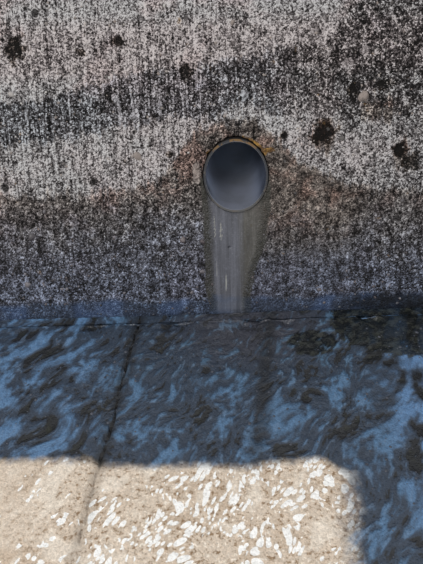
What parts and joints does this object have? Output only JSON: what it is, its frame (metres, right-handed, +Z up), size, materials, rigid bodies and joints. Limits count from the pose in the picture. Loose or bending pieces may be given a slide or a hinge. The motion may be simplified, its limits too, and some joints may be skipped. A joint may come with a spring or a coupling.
{
  "type": "drain outlet headwall",
  "caption": "Battered concrete headwall in bays with a concrete apron along its foot and one round drain pipe cut flush with the sloping face.",
  "frame": {"origin": "middle of the footprint at the underside of the concrete", "axes": "+X along the wall, -Y out of the battered face towards the apron, +Y to the back of the wall, +Z up"},
  "size_m": [1.974, 1.137, 0.57],
  "materials": {
    "wall_concrete": "weathered sandy cast concrete with drip streaks and a dark stain band",
    "apron_concrete": "wet slate-grey concrete beside the wall, tan silt further out",
    "joint_filler": "bituminous joint strip",
    "pipe_plastic": "aged grey plastic, grimy inside",
    "mortar": "damp brown sand and cement mortar, crumbling at its rim"
  },
  "bodies": {
    "root": {"wall_bay_left": "wall_concrete", "wall_bay_outlet": "wall_concrete", "wall_bay_right": "wall_concrete", "wall_joint_left": "joint_filler", "wall_joint_right": "joint_filler", "apron_slab_left": "apron_concrete", "apron_slab_outlet": "apron_concrete", "apron_slab_right": "apron_concrete", "apron_joint_left": "joint_filler", "apron_joint_right": "joint_filler", "toe_joint_left": "joint_filler", "toe_joint_outlet": "joint_filler", "toe_joint_right": "joint_filler", "drain_pipe": "pipe_plastic", "mortar_mouth": "mortar", "mortar_back": "mortar"}
  },
  "joints": []
}
